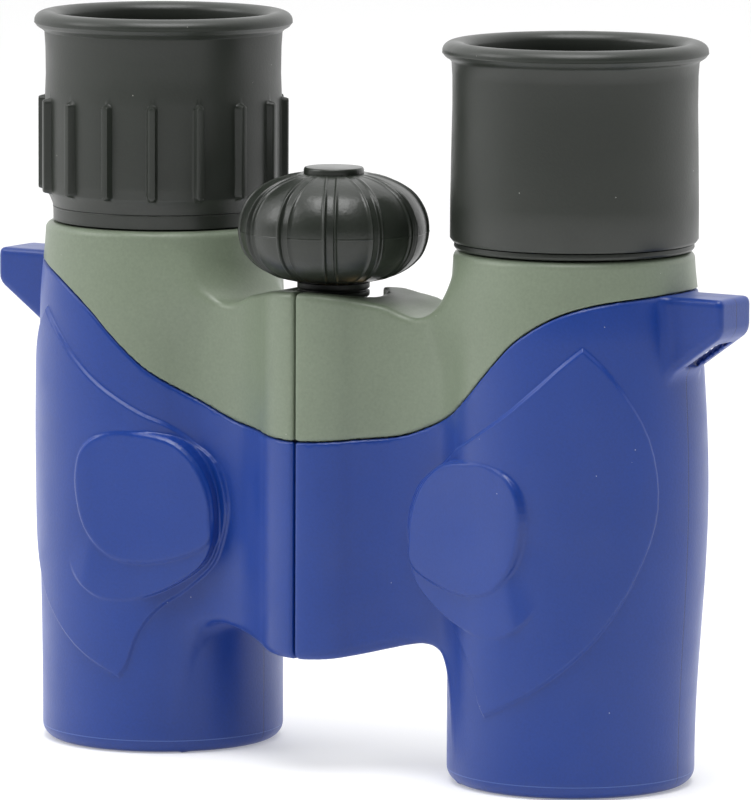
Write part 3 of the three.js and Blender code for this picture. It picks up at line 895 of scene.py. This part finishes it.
for side in ("left", "right"):
    x = -BARREL_X if side == "left" else BARREL_X
    shell = f"{side}_half"
    eye = "dioptre_ring" if side == "left" else shell
    cell = "dioptre_cell" if side == "left" else shell
    group = f"{side}_focus_group"
    shoulder = 75.6 if side == "left" else 74.65
    rim = [(14.15, 73.45), (15.45, 73.45), (15.48, 75.2), (15.56, 75.28), (15.5, 75.42), (14.15, 75.42)]
    if side == "right":
        rim = [(14.15, 73.45), (16.2, 73.45), (16.4, 73.75), (16.35, 74.3), (14.15, 74.3)]
    turned_piece(f"{side}_eyecup_seat", rim, x, BARREL_Y, RUBBER, shell, "eyecup_rubber",
                 (f"{side}_base_ring",), round_off=0.06)
    turned_piece(f"{side}_eyepiece_mount",
                 [(12.7, 61), (13.85, 61), (13.85, shoulder), (14.85, shoulder), (14.85, 87.4), (14.3, 88),
                  (13.2, 88), (12.9, 87.6), (10.9, 87.5), (10.4, 87.9), (9.4, 87.2), (9.4, 86.5),
                  (13.1, 86.5), (12.7, 74)],
                 x, BARREL_Y, DARK, eye, "dark_plastic", (f"{side}_eyepiece_tube",))
    turned_piece(f"{side}_objective_bezel",
                 [(11.4, 4.6), (11.4, 3.6), (11.7, 3.4), (11.7, 3.1), (12.2, 2.9), (12.2, 2.5), (12.9, 2.3),
                  (12.9, 1.9), (13.9, 1.7), (13.9, 5.4), (12, 5.4)],
                 x, BARREL_Y, DARK, shell, "dark_plastic", (f"{side}_objective_trim_ring",), 128, 0.08)
    turned_piece(f"{side}_objective_barrel",
                 [(10.75, 8), (12.2, 8), (12.2, 14.6), (13.4, 15.6), (13.4, 24.6), (12.6, 24.6), (12.6, 16),
                  (11.4, 15), (9.6, 15), (9.6, 14.2), (10.75, 14.2)],
                 x, BARREL_Y, DARK, group, "dark_plastic", (f"{side}_objective_tube",))
    turned_piece(f"{side}_objective_clamp_ring", [(9.7, 8.3), (10.5, 8.3), (10.5, 9.1), (9.7, 9.1)],
                 x, BARREL_Y, DARK, group, "dark_plastic", (f"{side}_objective_retainer",), 96, 0.1)
    turned_piece(f"{side}_objective_front_lens", lens_profile(10.5, 10.2, 0.7, 11.2, 0.5), x, BARREL_Y,
                 GLASS, group, "lens_glass", (f"{side}_objective_crown",), 96, 0)
    turned_piece(f"{side}_eye_lens_glass", lens_profile(9.7, 80.1, 0.9, 82.0, 1.1), x, BARREL_Y,
                 GLASS, cell, "lens_glass", (f"{side}_eye_lens",), 96, 0)

foot_cap = [(0, 17.1), (3.0, 17.1), (3.2, 16.9), (5.9, 16.9), (6.5, 17.4), (6.5, 18.6), (2.55, 18.6),
            (2.55, 26), (0, 26)]
turned_piece("hinge_foot_cap", foot_cap, 0, HINGE_Y, DARK, "left_half", "dark_plastic",
             ("hinge_bottom_cap",), 96, 0.12)

# ---- CAD pieces that stay, given finishes -------------------------------------------------------
kept = {STEEL: ("hinge_tube", "hinge_top_nut"),
        ALLOY: ("left_focus_arm", "right_focus_arm"),
        BRASS: ("focus_screw", "focus_nut")}
inner = {DARK: ("prism_cage", "field_stop", "eyepiece_cell", "lens_spacer", "lens_retainer"),
         PRISM: ("objective_flint", "half_prism", "roof_prism", "field_lens")}
for finish, names in inner.items():
    kept.setdefault(finish, ())
    kept[finish] += tuple(f"{side}_{name}" for side in ("left", "right") for name in names)
for finish, names in kept.items():
    for name in names:
        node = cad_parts[name]
        node.data.materials.clear()
        node.data.materials.append(finish)

# ---- floor, light and camera --------------------------------------------------------------------
floor_finish, nodes, links, shader = new_material("pale_floor")
place = nodes.new("ShaderNodeTexCoord").outputs["Object"]
links.new(ramp(nodes, links, noise(nodes, links, place, 3, 2), [(0.3, (0.69,) * 3), (0.7, (0.71,) * 3)]),
          shader.inputs["Base Color"])
shader.inputs["Roughness"].default_value = 0.7
shader.inputs["Emission Color"].default_value = (1, 1, 1, 1)
shader.inputs["Emission Strength"].default_value = 0.3
floor_mesh = bpy.data.meshes.new("floor")
floor_mesh.from_pydata([(-3, -3, 0), (3, -3, 0), (3, 3, 0), (-3, 3, 0)], [], [(0, 1, 2, 3)])
floor_mesh.materials.append(floor_finish)
floor = bpy.data.objects.new("floor", floor_mesh)
bpy.context.scene.collection.objects.link(floor)

scene = bpy.context.scene
scene.view_settings.view_transform = "Standard"
CAMERA_TURN = math.radians(32.18)

# White behind, and dimmer towards the camera, so that the edges are brighter than the middles.
world = bpy.data.worlds.new("studio")
scene.world = world
world.use_nodes = True
nodes, links = world.node_tree.nodes, world.node_tree.links
facing = nodes.new("ShaderNodeVectorMath")
facing.operation = "DOT_PRODUCT"
facing.inputs[1].default_value = (math.sin(CAMERA_TURN), -math.cos(CAMERA_TURN), 0)
links.new(nodes.new("ShaderNodeTexCoord").outputs["Generated"], facing.inputs[0])
ahead = maths(nodes, links, "ADD", maths(nodes, links, "MULTIPLY", facing.outputs["Value"], 0.5), 0.5)
tent = ramp(nodes, links, ahead,
            [(0.3, (1,) * 3), (0.5, (0.7,) * 3), (0.75, (0.16,) * 3), (1, (0.1,) * 3)])
links.new(tent, nodes["Background"].inputs["Color"])
nodes["Background"].inputs["Strength"].default_value = 1.3


def area_light(name, place, aim, size, power):
    data = bpy.data.lights.new(name, "AREA")
    data.shape = "RECTANGLE"
    data.size, data.size_y = size
    data.energy = power
    obj = bpy.data.objects.new(name, data)
    obj.location = place
    obj.rotation_euler = (Vector(aim) - Vector(place)).to_track_quat("-Z", "Y").to_euler()
    scene.collection.objects.link(obj)


area_light("top", (0.12, -0.22, 0.95), (0, 0, 0.05), (0.6, 0.6), 7.5)
area_light("left", (-0.42, -0.38, 0.45), (0, 0, 0.06), (0.35, 0.35), 1.5)

camera_data = bpy.data.cameras.new("camera")
camera_data.sensor_width = 36
camera_data.lens = 361.1
camera_data.clip_start = 0.05
camera_data.clip_end = 20
camera = bpy.data.objects.new("camera", camera_data)
pitch, roll, turn = math.radians(7.3756), math.radians(0.2329), CAMERA_TURN
forward = Vector((-math.sin(turn) * math.cos(pitch), math.cos(turn) * math.cos(pitch), -math.sin(pitch)))
level = Vector((math.cos(turn), math.sin(turn), 0))
above = level.cross(forward)
right = math.cos(roll) * level + math.sin(roll) * above
up = math.cos(roll) * above - math.sin(roll) * level
turned_to = Matrix((right, up, -forward)).transposed().to_4x4()
camera.matrix_world = Matrix.Translation((0.58917, -0.93199, 0.19302)) @ turned_to
scene.collection.objects.link(camera)
scene.camera = camera
